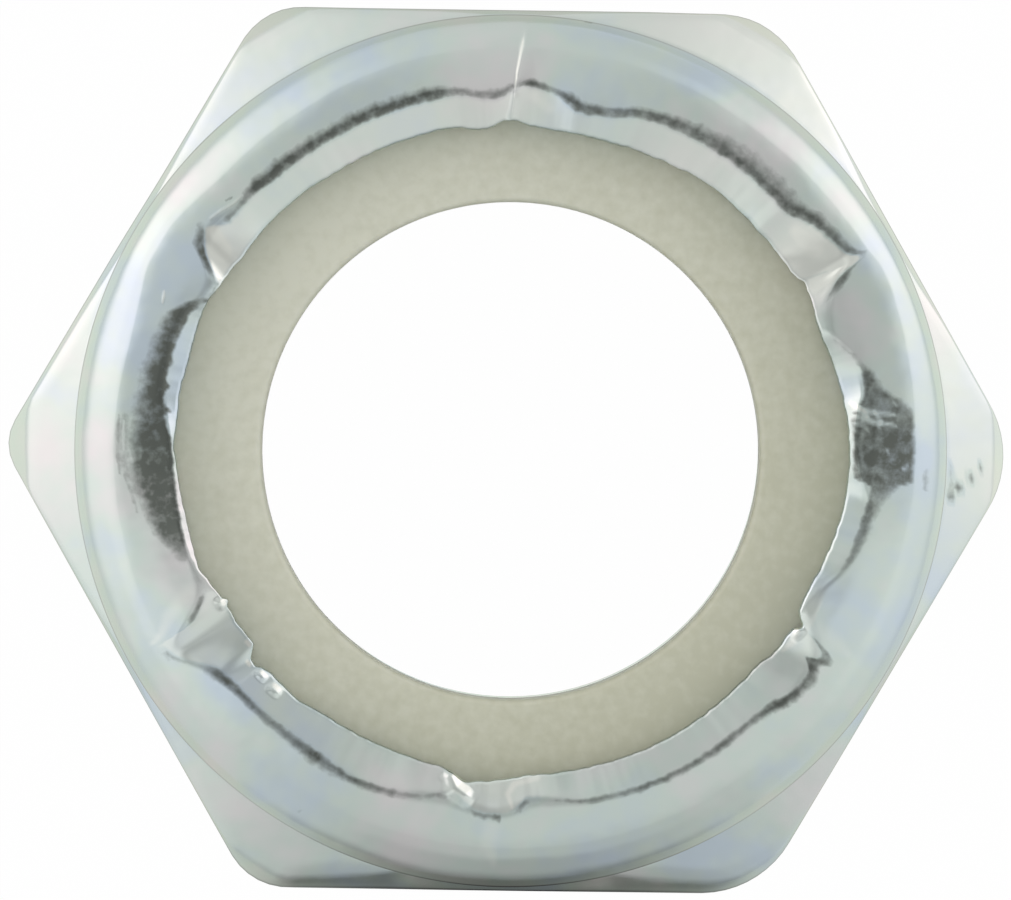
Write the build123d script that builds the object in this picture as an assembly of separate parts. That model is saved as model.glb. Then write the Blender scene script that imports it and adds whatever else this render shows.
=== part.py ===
from build123d import *
import os
from math import cos, radians, sin, tan

# Nylon insert lock nut, 1/2-13 UNC, in millimetres.
# A cold-formed steel hexagon nut carries a thin round collar at its top. A nylon
# ring lies in the collar, and six jaws have rolled the collar's rim in over it.
# Between the jaws the rim could only pinch, so it has six folds.
# The origin is the centre of the bearing face, +Z runs along the thread towards
# the nylon, and +X points at a corner of the hexagon.

SIDES = 6
MINOR_DEPTH_PER_PITCH = 1.0825

# Hexagon. The forging die filled each corner a little differently: the radii run
# anticlockwise from the corner at +X.
across_flats = 19.05
hex_height = 10.6
corner_radii = (2.2, 2.1, 1.5, 1.0, 1.4, 2.2)
bearing_inset = 0.55
bottom_chamfer_angle = 30
top_slope_angle = 22
tip_inset = 0.6
tip_angle = 50

# Thread
thread_major_diameter = 12.70
thread_pitch = 1.954
bore_allowance = 0.055
countersink_margin = 0.25

# Nylon ring
insert_height = 3.47
insert_bore_margin = 0.03
insert_bore_chamfer = 0.15
insert_clearance = 0.03

# Collar and its rolled rim
flat_ledge = 0.14
root_radius = 0.2
collar_wall = 1.14
shoulder_radius = 0.85
crown_angle = 20
rim_thickness = 0.98
roll_bevel = 0.75

# Crimp: how far each jaw has pushed the rim's edge in past the cavity's wall,
# anticlockwise from the jaw at +X, and the folds between the jaws
jaw_reaches = (0.98, 1.20, 1.22, 1.02, 1.26, 1.20)
end_face_width = 0.78
edge_land = 0.6
edge_rise_at_fold = 0.12
crest_rise_at_fold = 0.3
fold_width = 0.5
fold_depth = 0.28

jaw_step = 360 / SIDES
half_flats = across_flats / 2
sharp_corner = half_flats / cos(radians(jaw_step / 2))
bore_r = (thread_major_diameter - MINOR_DEPTH_PER_PITCH * thread_pitch + bore_allowance) / 2
countersink_r = thread_major_diameter / 2 + countersink_margin
insert_bore_r = bore_r + insert_bore_margin
collar_r = half_flats - flat_ledge
cavity_r = collar_r - collar_wall
rim_under_z = hex_height + insert_height + insert_clearance
nut_height = rim_under_z + rim_thickness
edge_radii = [cavity_r - reach for reach in jaw_reaches]
crest_r = min(edge_radii) + end_face_width


def drop(run, angle):
    """Height lost over a level run on a slope of the given angle."""
    return run * tan(radians(angle))


def on_circle(radius, angle, height):
    """Point at a radius, a bearing in degrees from +X, and a height."""
    return (radius * cos(radians(angle)), radius * sin(radians(angle)), height)


def hexagon_prism():
    """Hexagon with its own radius at each corner, as tall as the whole nut."""
    with BuildPart() as prism:
        with BuildSketch() as hexagon:
            RegularPolygon(half_flats, SIDES, major_radius=False)
            for index, radius in enumerate(corner_radii):
                corner = on_circle(sharp_corner, index * jaw_step, 0)
                fillet(hexagon.vertices().sort_by_distance(corner)[0], radius)
        extrude(amount=nut_height)
    return prism.part


def turned_outside():
    """Everything on the outside that is round about the axis, from chamfer to crest."""
    bearing_r = half_flats - bearing_inset
    outer_r = sharp_corner + bearing_inset
    tip_r = sharp_corner - tip_inset
    tip_z = hex_height - drop(tip_r - collar_r, top_slope_angle)
    outer_top_z = tip_z - drop(outer_r - tip_r, tip_angle)
    # The crown is an arc that leaves the shoulder at the crown angle and is level at
    # the crest, so its radius follows from the width that the shoulder leaves it.
    lean = radians(crown_angle)
    crown_width = collar_r - shoulder_radius * (1 - sin(lean)) - crest_r
    crown_radius = crown_width / sin(lean)
    wall_top_z = nut_height - crown_radius * (1 - cos(lean)) - shoulder_radius * cos(lean)
    with BuildPart() as outside:
        with BuildSketch(Plane.XZ) as profile:
            with BuildLine():
                Polyline(
                    (0, nut_height),
                    (0, 0),
                    (bearing_r, 0),
                    (outer_r, drop(outer_r - bearing_r, bottom_chamfer_angle)),
                    (outer_r, outer_top_z),
                    (tip_r, tip_z),
                    (collar_r, hex_height),
                    (collar_r, wall_top_z),
                )
                shoulder = JernArc((collar_r, wall_top_z), (0, 1), shoulder_radius, 90 - crown_angle)
                crown = JernArc(shoulder @ 1, shoulder % 1, crown_radius, crown_angle)
                Line(crown @ 1, (0, nut_height))
            make_face()
            fillet(profile.vertices().sort_by_distance((collar_r, hex_height))[0], root_radius)
        revolve(axis=Axis.Z)
    return outside.part


def threaded_bore():
    """Bore at the thread's minor diameter, countersunk past its major diameter."""
    depth = countersink_r - bore_r
    bore = Cylinder(bore_r, hex_height, align=(Align.CENTER, Align.CENTER, Align.MIN))
    sink = Cone(countersink_r, bore_r, depth, align=(Align.CENTER, Align.CENTER, Align.MIN))
    return bore + sink + Pos(0, 0, hex_height) * Rot(180, 0, 0) * sink


def cavity_form(clearance):
    """Inside of the collar, its top corner pressed in by the roll, less a clearance."""
    outer_r = cavity_r - clearance
    height = insert_height + insert_clearance - clearance
    form = Cylinder(outer_r, height, align=(Align.CENTER, Align.CENTER, Align.MIN))
    return Pos(0, 0, hex_height) * chamfer(form.edges().sort_by(Axis.Z)[-1], roll_bevel)


def jaw_outline(offset, rise_at_fold, height):
    """Closed line of one flat arc for each jaw. The arcs meet in points at the folds."""
    corners = []
    for index, radius in enumerate(edge_radii):
        beside = (edge_radii[index - 1] + radius) / 2
        corners.append(on_circle(beside + offset + rise_at_fold, (index - 0.5) * jaw_step, height))
    with BuildLine() as outline:
        for index, radius in enumerate(edge_radii):
            middle = on_circle(radius + offset, index * jaw_step, height)
            ThreePointArc(corners[index], middle, corners[(index + 1) % SIDES])
    return make_face(outline.edges())


def rim_mouth():
    """Cutter for the mouth: a narrow upright land, then the rim's sloping end face."""
    land_top_z = rim_under_z + edge_land
    edge = jaw_outline(0, edge_rise_at_fold, land_top_z)
    crest = jaw_outline(end_face_width, crest_rise_at_fold, nut_height)
    land = extrude(edge, -land_top_z + hex_height)
    return land + loft([edge, crest], ruled=True)


def fold_cutter():
    """V groove of one fold, at +X: a point on the shoulder that widens to the mouth."""
    start = Vertex(collar_r - shoulder_radius / 2, 0, nut_height)
    groove = Polygon((-fold_width, fold_depth), (0, -fold_depth), (fold_width, fold_depth), align=None)
    sections = [start]
    stations = (
        (crest_r + crest_rise_at_fold, nut_height),
        (min(edge_radii), rim_under_z + edge_land),
    )
    for radius, height in stations:
        sections.append(Plane((radius, 0, height), x_dir=(0, 1, 0), z_dir=(1, 0, 0)) * groove)
    return loft(sections, ruled=True)


def nut_body():
    """The steel nut: hexagon, collar and rolled rim in one piece."""
    body = hexagon_prism() & turned_outside()
    body -= threaded_bore()
    body -= cavity_form(0)
    body -= rim_mouth()
    for index in range(SIDES):
        body -= Rot(0, 0, (index + 0.5) * jaw_step) * fold_cutter()
    return body


def nylon_insert():
    """The nylon ring: it fills the collar's inside and is bored for the bolt."""
    height = rim_under_z - insert_clearance
    bore = Cylinder(insert_bore_r, height, align=(Align.CENTER, Align.CENTER, Align.MIN))
    mouth = Cone(
        insert_bore_r,
        insert_bore_r + insert_bore_chamfer,
        insert_bore_chamfer,
        align=(Align.CENTER, Align.CENTER, Align.MAX),
    )
    return cavity_form(insert_clearance) - bore - Pos(0, 0, height) * mouth


os.makedirs("parts", exist_ok=True)
export_step(nut_body(), "parts/nut_body.step")
export_step(nylon_insert(), "parts/nylon_insert.step")
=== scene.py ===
from math import cos, pi, radians, sin, tan

import bpy
import numpy as np
from mathutils import Euler, Matrix, Vector, noise


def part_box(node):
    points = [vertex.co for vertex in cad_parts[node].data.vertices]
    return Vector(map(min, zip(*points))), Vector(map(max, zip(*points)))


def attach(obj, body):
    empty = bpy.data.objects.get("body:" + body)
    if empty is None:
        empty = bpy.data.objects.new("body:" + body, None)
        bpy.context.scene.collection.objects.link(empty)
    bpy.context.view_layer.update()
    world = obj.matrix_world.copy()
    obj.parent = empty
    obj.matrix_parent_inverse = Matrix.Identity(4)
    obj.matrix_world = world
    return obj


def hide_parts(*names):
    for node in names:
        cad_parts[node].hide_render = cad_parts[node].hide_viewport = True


# A 1/2-13 nylon insert lock nut of zinc-plated steel. It lies on its bearing face,
# its collar and nylon ring uppermost. Lengths in the tables are millimetres and
# angles are degrees anticlockwise from +X, which points at a corner.

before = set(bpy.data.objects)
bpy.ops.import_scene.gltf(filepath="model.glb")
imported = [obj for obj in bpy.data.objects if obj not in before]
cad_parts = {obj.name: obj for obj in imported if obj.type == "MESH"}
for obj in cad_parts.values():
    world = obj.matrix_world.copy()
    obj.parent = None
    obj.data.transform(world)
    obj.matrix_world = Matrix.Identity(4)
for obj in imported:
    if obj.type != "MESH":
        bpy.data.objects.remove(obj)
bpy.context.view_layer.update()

MM = 0.001

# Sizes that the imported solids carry
nut_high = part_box("nut_body")[1] / MM
ring_low, ring_high = (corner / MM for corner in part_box("nylon_insert"))
HALF_FLATS = nut_high.y
NUT_HEIGHT = nut_high.z
RING_FOOT = ring_low.z
RING_TOP = ring_high.z
RING_OUTER = ring_high.x

# Hexagon
SHARP_CORNER = HALF_FLATS / cos(radians(30))
CORNER_RADII = (2.2, 2.1, 1.5, 1.0, 1.4, 2.2)
BEARING_RADIUS = HALF_FLATS - 0.55
CHAMFER_RISE = tan(radians(30))
TOP_FALL = tan(radians(22.5))
TIP_RADIUS = SHARP_CORNER - 0.6
TIP_FALL = tan(radians(50))
# Where the flats' worn edge takes most of the top, this much of it stays by the collar
TOP_LEFT = 0.02

# Thread and its countersinks
PITCH = 1.954
MINOR_RADIUS = 5.42
MAJOR_RADIUS = 6.35
SINK_RADIUS = 6.6
# The thread's ridge is sunk into the nut's wall and stays clear of the nut's two ends
RIDGE_SUNK = 0.06
WALL_DEPTH = 0.05
END_GAP = 0.06
FLANK_SLOPE = tan(radians(30))
CREST_ROUND = 0.08
STEPS_PER_TURN = 120
# Heights of the rings on the wall behind the thread
BORE_ROWS = (7.0, 4.0)

# Nylon ring
RING_BORE = 5.35
RING_MOUTH_ROUND = 0.15
RING_STEPS = 360

# Collar, from its wall over a tight and a wide arc to the crown, the crest and the lip
COLLAR_RADIUS = HALF_FLATS - 0.14
CAVITY_RADIUS = 8.245
ROLL_BEVEL = 0.75
TIGHT_ARC = 0.5
ARCS_MEET = radians(45)
SHOULDER_SLOPE = radians(19)
CREST_SLOPE = tan(radians(8))
CROWN_TOP = 15.02
CROWN_TOP_RADIUS = 7.77
CREST_BLEND = 0.055
RIM_UNDER = RING_TOP + 0.03
# Heights of the rings on the collar's wall. The rim's finer columns start at the second.
WALL_RINGS = (11.2, 11.4, 12.6)
# The lip's rounding starts at this part of its radius and leaves the end face at this
# lean. Its rings lie at the leans that follow.
LIP_START = 0.75
END_FACE_LEAN = 14
LIP_LEANS = (32, 50, 70, 90)
# Radius at which the rim's unevenness is read, all the way round
UNEVEN_RADIUS = 7.2
# Strokes don't raise the rim past this much under the nut's height
TOP_GAP = 0.005
# The rim's tables and the strokes are drawn for a looser roll, which closes to this part
RIM_DRAWN_IN = 0.995

# The rim has FINER times the hexagon's columns, and both stand closer at the folds
FINER = 3
BODY_COLUMNS = 400
RIM_COLUMNS = FINER * BODY_COLUMNS
CLOSER_AT_FOLDS = 0.5
# Rows of points over the hexagon's top, each arc of the collar, and the crown
TOP_ROWS = 10
ARC_ROWS = 6
CROWN_ROWS = 50
# Columns over which the end face is evened out, more where the lip stands high in a fold
CREST_SOFTNESS = 9
PLEAT_SOFTNESS = 30
PLEATED_LIP = (14.84, 14.91)

# How far the lip lies from the axis
LIP_EDGE = (
    (0, 7.3), (6, 7.28), (12, 7.24), (17, 7.18), (21, 7.14), (24, 7.15), (26, 7.22), (29, 7.28),
    (30.6, 7.31), (31.8, 7.22), (34, 7.17), (46, 7.15), (52, 7.16), (57, 7.12), (61, 7.07),
    (68, 7.02), (76, 6.97), (84, 6.98), (88, 7.04), (90, 7.12), (92, 7.1), (93.5, 7.03),
    (95, 6.96), (97, 6.97), (100, 7.05), (104, 7.08), (124, 7.09), (128, 7.13), (140, 7.16),
    (144, 7.14), (148, 7.18), (151, 7.21), (155, 7.29), (158, 7.27), (166, 7.21), (170, 7.24),
    (175, 7.22), (180, 7.25), (185, 7.18), (190, 7.15), (195, 7.13), (201, 7.16), (204, 7.09),
    (207.6, 6.99), (208.6, 6.88), (209.8, 6.97), (215, 6.95), (217.5, 6.93), (218.6, 7.05),
    (219.6, 7.18), (220.8, 7.2), (222, 7.1), (226, 7.04), (230, 7.06), (234, 6.98), (246, 6.93),
    (257, 6.95), (260.5, 7.03), (262, 7.14), (263.3, 7.18), (266, 7.14), (270, 7.07),
    (274, 6.99), (288, 7.02), (300, 7.05), (318, 7.03), (321, 7.06), (323, 7.14), (328.5, 7.18),
    (329.7, 7.33), (330.8, 7.2), (332, 7.09), (336, 7.08), (340, 7.13), (348, 7.23),
    (353, 7.28),
)
# How far the crest lies from the axis, where the crown turns down into the end face
CREST = (
    (0, 7.46), (6, 7.47), (8, 7.57), (9.5, 7.73), (12, 7.81), (14, 7.8), (16, 7.7),
    (17.5, 7.58), (19, 7.46), (20.5, 7.34), (23, 7.3), (25.2, 7.38), (26.5, 7.56), (27.5, 7.8),
    (28.4, 8.02), (29, 8.3), (29.4, 8.52), (29.9, 8.77), (30.4, 8.62), (31.2, 8.48),
    (32.5, 8.42), (34, 8.38), (36.5, 8.29), (38.5, 8.21), (40, 8.09), (41.5, 7.98), (44, 7.96),
    (54, 7.97), (64, 7.92), (68, 7.85), (72, 7.71), (75, 7.59), (78, 7.53), (80, 7.57),
    (82, 7.72), (84, 7.83), (86, 7.91), (88, 7.95), (89.3, 7.94), (90.1, 7.88), (90.8, 7.8),
    (92, 7.7), (93.5, 7.65), (95.5, 7.69), (98, 7.79), (101, 7.86), (106, 7.88), (130, 7.88),
    (136, 7.93), (140, 7.89), (141.5, 7.96), (143, 8.13), (145, 8.3), (146.5, 8.19), (148, 8.0),
    (149, 7.83), (149.8, 7.62), (150.6, 7.42), (152, 7.35), (153.6, 7.35), (155, 7.43),
    (156.2, 7.56), (158, 7.66), (164, 7.69), (172, 7.66), (176, 7.5), (179, 7.34), (188, 7.3),
    (197, 7.31), (200, 7.3), (203, 7.24), (205.4, 7.28), (206.5, 7.41), (207.5, 7.57),
    (208.4, 7.73), (209.1, 7.9), (209.5, 8.4), (209.8, 8.74), (210.6, 8.68), (211.5, 8.6),
    (213.8, 8.4), (215.2, 8.22), (217, 8.02), (219, 7.92), (222, 7.85), (234, 7.81),
    (240, 7.85), (246, 7.88), (252, 7.81), (256, 7.72), (259, 7.6), (261, 7.58), (263, 7.68),
    (264, 7.79), (265.5, 7.87), (269, 7.93), (270.5, 7.88), (271.6, 7.78), (273, 7.61),
    (275, 7.56), (279, 7.62), (283, 7.72), (290, 7.77), (300, 7.81), (306, 7.82), (312, 7.79),
    (315, 7.85), (318, 7.99), (320.5, 8.08), (323, 8.13), (325, 8.04), (325.9, 7.95),
    (326.8, 8.14), (327.8, 8.15), (328.6, 7.96), (329.2, 7.7), (329.8, 7.46), (331, 7.32),
    (334, 7.26), (337, 7.32), (339.5, 7.47), (341.5, 7.62), (344, 7.71), (349, 7.81),
    (353, 7.84), (355.4, 7.72), (356.4, 7.52), (358, 7.46),
)
# Painted dark reflection in a band along the crest: angle, inner and outer radius, strength,
# and the width over which its outer side fades
PAINTED_DARK_BAND = (
    (0, 7.42, 8.7, 1.02, 0.05), (4, 7.42, 8.69, 0.94, 0.05), (6.5, 7.42, 8.66, 0.88, 0.06),
    (8, 7.55, 8.5, 0.8, 0.1), (9.2, 7.7, 8.3, 0.85, 0.12), (10.5, 7.76, 8.12, 0.85, 0.14),
    (12.3, 7.78, 8.0, 0.95, 0.1), (13.8, 7.78, 7.96, 0.6, 0.08), (15, 7.72, 7.8, 0.35, 0.05),
    (17.5, 7.56, 7.62, 0.3, 0.04), (19.5, 7.4, 7.45, 0.2, 0.04), (21, 7.32, 7.36, 0, 0.04),
    (25.5, 7.42, 7.48, 0, 0.04), (26.6, 7.6, 7.8, 0.4, 0.08), (27.8, 7.84, 8.1, 0.75, 0.1),
    (28.6, 8.04, 8.26, 0.8, 0.08), (29.2, 8.34, 8.48, 0.45, 0.05),
    (29.7, 8.66, 8.77, 0.15, 0.04), (30.1, 8.68, 8.8, 0.45, 0.05),
    (30.8, 8.5, 8.66, 0.75, 0.05), (32, 8.42, 8.54, 0.85, 0.06), (34, 8.33, 8.49, 0.75, 0.08),
    (36.5, 8.22, 8.41, 0.85, 0.09), (38.5, 8.11, 8.35, 0.9, 0.1), (40, 7.99, 8.26, 0.95, 0.1),
    (41.5, 7.88, 8.18, 0.85, 0.16), (44, 7.87, 8.2, 0.82, 0.2), (50, 7.87, 8.2, 0.8, 0.24),
    (56, 7.86, 8.16, 0.9, 0.18), (60, 7.84, 8.09, 0.8, 0.13), (66, 7.78, 7.99, 0.9, 0.1),
    (70, 7.71, 7.88, 0.75, 0.08), (74, 7.54, 7.7, 0.65, 0.08), (77.5, 7.48, 7.64, 0.85, 0.08),
    (79.5, 7.48, 7.7, 0.85, 0.1), (81.5, 7.6, 7.82, 0.8, 0.08), (83.5, 7.76, 7.86, 0.55, 0.05),
    (86, 7.87, 7.95, 0.8, 0.05), (88, 7.91, 8.02, 0.85, 0.06), (89.3, 7.88, 7.94, 0.6, 0.04),
    (89.9, 7.84, 7.9, 0.1, 0.04), (90.6, 7.8, 7.88, 0.5, 0.05), (92, 7.66, 7.82, 0.6, 0.09),
    (93.6, 7.62, 7.77, 0.6, 0.09), (95.6, 7.65, 7.78, 0.5, 0.08), (98, 7.75, 7.86, 0.5, 0.07),
    (100.5, 7.79, 7.94, 0.6, 0.08), (102.5, 7.78, 8.0, 1.05, 0.1), (106, 7.78, 8.0, 0.9, 0.12),
    (113, 7.78, 8.0, 1.05, 0.12), (117, 7.78, 8.0, 0.95, 0.12), (120, 7.78, 8.0, 1.0, 0.1),
    (126, 7.78, 8.0, 0.95, 0.1), (132, 7.78, 8.02, 1.05, 0.1), (135.5, 7.86, 8.03, 0.95, 0.08),
    (137, 7.86, 7.98, 0.45, 0.06), (139, 7.86, 7.92, 0.45, 0.04),
    (141.3, 7.86, 7.96, 0.65, 0.05), (142.4, 7.94, 8.02, 0.15, 0.05),
    (143.6, 8.12, 8.18, 0, 0.05), (144.6, 8.22, 8.33, 0.3, 0.06),
    (145.6, 8.12, 8.26, 0.65, 0.08), (147, 7.98, 8.18, 0.9, 0.09),
    (148, 7.84, 8.06, 0.95, 0.09), (149, 7.68, 7.88, 0.85, 0.09), (149.8, 7.5, 7.7, 0.7, 0.08),
    (150.4, 7.42, 7.55, 0.3, 0.06), (151, 7.35, 7.4, 0, 0.05), (153.8, 7.3, 7.36, 0.1, 0.04),
    (154.6, 7.34, 7.43, 0.75, 0.05), (156, 7.45, 7.66, 0.95, 0.06),
    (157.5, 7.55, 7.84, 1.0, 0.08), (159, 7.57, 7.95, 1.0, 0.1), (163, 7.6, 8.0, 1.05, 0.16),
    (165.2, 7.61, 8.02, 1.0, 0.2), (166.1, 7.53, 8.02, 1.0, 0.2),
    (167.2, 7.62, 8.02, 1.05, 0.22), (169.2, 7.61, 8.04, 1.1, 0.24),
    (170, 7.51, 8.04, 1.05, 0.26), (171.2, 7.6, 8.04, 1.05, 0.26),
    (173.2, 7.55, 8.05, 1.05, 0.28), (174.1, 7.4, 8.06, 1.05, 0.28),
    (175, 7.52, 8.06, 1.05, 0.28), (177, 7.46, 8.1, 1.05, 0.25), (180, 7.32, 8.14, 1.08, 0.25),
    (184, 7.31, 8.14, 1.1, 0.25), (187, 7.3, 8.06, 1.1, 0.22), (190, 7.3, 7.94, 1.1, 0.18),
    (194, 7.31, 7.8, 1.05, 0.14), (197, 7.33, 7.62, 0.8, 0.12), (198.8, 7.36, 7.52, 0.5, 0.1),
    (200.2, 7.4, 7.46, 0, 0.08), (205.3, 7.26, 7.3, 0, 0.04), (206.2, 7.34, 7.43, 0.65, 0.06),
    (207.4, 7.5, 7.62, 0.9, 0.06), (208.3, 7.64, 7.79, 0.9, 0.07),
    (208.9, 7.76, 7.89, 0.6, 0.07), (209.3, 7.95, 8.05, 0.2, 0.06),
    (209.8, 8.68, 8.74, 0.1, 0.05), (211.5, 8.58, 8.64, 0.5, 0.05),
    (213.6, 8.38, 8.44, 0.4, 0.05), (214.6, 8.26, 8.3, 0.1, 0.05),
    (216.3, 8.0, 8.14, 0.35, 0.1), (218, 7.88, 8.05, 0.7, 0.1), (220, 7.82, 7.96, 0.9, 0.08),
    (222, 7.79, 7.9, 0.85, 0.07), (226, 7.78, 7.88, 0.65, 0.07), (231, 7.74, 7.87, 0.6, 0.09),
    (236, 7.72, 7.91, 0.75, 0.1), (238.2, 7.72, 7.93, 0.9, 0.12),
    (240.5, 7.77, 7.94, 0.65, 0.1), (245, 7.84, 7.95, 0.75, 0.08), (248, 7.8, 7.92, 0.75, 0.07),
    (252, 7.76, 7.85, 0.5, 0.06), (256, 7.69, 7.75, 0.35, 0.05),
    (259.8, 7.55, 7.62, 0.45, 0.05), (261.5, 7.56, 7.6, 0.1, 0.05),
    (264.2, 7.78, 7.84, 0.1, 0.05), (265.3, 7.84, 7.91, 0.6, 0.05),
    (267, 7.88, 7.95, 0.6, 0.05), (269, 7.88, 7.99, 0.9, 0.05), (269.6, 7.9, 7.95, 0, 0.05),
    (271.2, 7.8, 7.86, 0.15, 0.05), (272.3, 7.67, 7.78, 0.55, 0.06),
    (273.3, 7.56, 7.62, 0.4, 0.05), (274.5, 7.54, 7.58, 0, 0.05), (279, 7.61, 7.65, 0.3, 0.04),
    (282.5, 7.7, 7.75, 0.7, 0.05), (284.5, 7.71, 7.77, 0.75, 0.05),
    (288, 7.73, 7.78, 0.5, 0.05), (291, 7.75, 7.82, 0.7, 0.06), (296, 7.77, 7.85, 0.8, 0.06),
    (300, 7.78, 7.86, 0.7, 0.06), (306, 7.76, 7.88, 0.75, 0.07), (311, 7.76, 7.84, 0.65, 0.07),
    (314, 7.78, 7.9, 0.7, 0.08), (316.3, 7.82, 8.0, 0.85, 0.08), (318.5, 7.93, 8.1, 0.95, 0.08),
    (320.5, 8.02, 8.16, 0.9, 0.08), (322.5, 8.05, 8.22, 0.8, 0.08),
    (324, 8.02, 8.22, 0.8, 0.08), (325.2, 7.9, 8.14, 0.9, 0.08), (325.9, 7.8, 8.1, 0.8, 0.08),
    (326.8, 8.04, 8.26, 0.95, 0.08), (327.6, 8.06, 8.28, 0.6, 0.08),
    (328.3, 7.92, 8.12, 0.7, 0.08), (328.9, 7.74, 7.92, 0.5, 0.07), (329.4, 7.6, 7.7, 0, 0.05),
    (340, 7.52, 7.56, 0.05, 0.05), (342, 7.64, 7.68, 0.5, 0.05), (345, 7.68, 7.8, 0.55, 0.08),
    (348, 7.72, 7.9, 0.58, 0.1), (350, 7.74, 7.97, 0.65, 0.1), (352, 7.78, 8.06, 0.7, 0.1),
    (354, 7.83, 8.2, 0.75, 0.12), (355.3, 7.84, 8.32, 0.85, 0.1), (355.8, 7.6, 8.5, 0.85, 0.08),
    (356.4, 7.44, 8.68, 0.95, 0.05), (358, 7.42, 8.69, 0.9, 0.05),
)
# Radius at which the crown turns into the steeper shoulder
SHOULDER_LINE = (
    (0, 8.76), (10, 8.79), (20, 8.9), (27, 8.96), (31, 8.87), (40, 8.8), (55, 8.75), (90, 8.74),
    (115, 8.69), (128, 8.62), (136, 8.6), (142, 8.69), (148, 8.82), (153, 8.82), (159, 8.66),
    (166, 8.57), (180, 8.59), (200, 8.6), (240, 8.58), (270, 8.6), (300, 8.62), (330, 8.66),
)
# Height of the lip, which the rim keeps up at its folds
LIP_HEIGHT = (
    (0, 14.82), (20, 14.84), (25, 14.91), (30, 14.89), (34, 14.84), (37, 14.81), (44, 14.84),
    (138, 14.84), (143, 14.89), (152, 14.89), (158, 14.82), (200, 14.82), (204, 14.92),
    (217, 14.92), (224, 14.84), (254, 14.84), (259, 14.92), (275, 14.92), (281, 14.84),
    (320, 14.84), (325, 14.91), (332, 14.91), (340, 14.82),
)
# Steepest that the end face may fall, as height over run
STEEPEST_FALL = (
    (0, 0.6), (8, 0.6), (12, 0.45), (19, 0.45), (23, 0.17), (30, 0.19), (34, 0.25), (138, 0.24),
    (143, 0.25), (152, 0.24), (158, 0.3), (174, 0.3), (180, 0.6), (199, 0.6), (204, 0.14),
    (217, 0.14), (222, 0.24), (250, 0.24), (256, 0.12), (276, 0.12), (282, 0.24), (318, 0.24),
    (325, 0.14), (333, 0.14), (338, 0.24), (352, 0.24), (356, 0.6),
)
# How roundly the lip turns down, sharper at the folds
LIP_ROUND = (
    (0, 0.1), (22, 0.1), (29, 0.04), (46, 0.04), (56, 0.08), (136, 0.08), (143, 0.04),
    (152, 0.04), (158, 0.1), (200, 0.1), (207, 0.05), (217, 0.05), (223, 0.08), (320, 0.1),
)
# Painted highlight on the end face, inside the dark band
PAINTED_END_FACE_HIGHLIGHT = (
    (0, 0), (22, 0.05), (26, 0.3), (30, 0.9), (36, 0.9), (42, 0.3), (60, 0.5), (72, 0.15),
    (90, 0.4), (120, 0.35), (135, 0.2), (142, 0.6), (148, 0.95), (153, 0.6), (158, 0), (200, 0),
    (208, 0.35), (214, 0.4), (219, 0.15), (224, 0.2), (234, 0.1), (258, 0.1), (264, 0.55),
    (274, 0.55), (280, 0), (322, 0), (327, 0.3), (333, 0.4), (340, 0),
)
# Painted shade on the lip, more than on the end face
PAINTED_LIP_SHADE = (
    (0, 0), (10, 0.15), (24, 0.3), (30, 0.6), (45, 0.6), (52, 0.4), (60, 0.3), (136, 0.3),
    (143, 0.6), (150, 0.6), (154, 0.2), (165, 0.2), (176, 0), (200, 0), (207, 0.2),
    (209.5, 0.6), (216, 0.6), (219, 0.4), (240, 0.4), (280, 0.2), (300, 0.3), (318, 0.5),
    (328, 0.4), (345, 0.1), (352, 0),
)
# Painted sheen that makes the hexagon's top brighter than the plate elsewhere
PAINTED_TOP_SHEEN = (
    (0, 0.45), (15, 0.3), (45, 0.6), (60, 0.7), (75, 0.4), (90, 0.2), (105, 0.15), (120, 0.3),
    (135, 0.2), (150, 0.1), (180, 0.2), (195, 0), (210, 0), (225, 0.2), (240, 0), (330, 0),
    (345, 0.15),
)
# How far the forging falls short of the full hexagon
SHORTFALL = (
    (0, 0), (60, 0), (66, 0.05), (74, 0.03), (108, 0.03), (118, 0.02), (124, 0.03), (140, 0.03),
    (156, 0), (180, 0),
)
# Width of the worn edge between the hexagon's top and its flats
FLAT_EDGE = (
    (0, 0.05), (15, 0.05), (24, 0.12), (36, 0.12), (46, 0.05), (60, 0.05), (75, 0.08),
    (90, 0.12), (105, 0.08), (125, 0.08), (140, 0.12), (155, 0.14), (176, 0.12), (184, 0.05),
    (200, 0.06), (210, 0.1), (222, 0.05), (232, 0.08), (240, 0.24), (250, 0.38), (260, 0.42),
    (280, 0.42), (290, 0.38), (300, 0.24), (308, 0.08), (316, 0.05), (330, 0.08), (344, 0.05),
)
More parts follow.
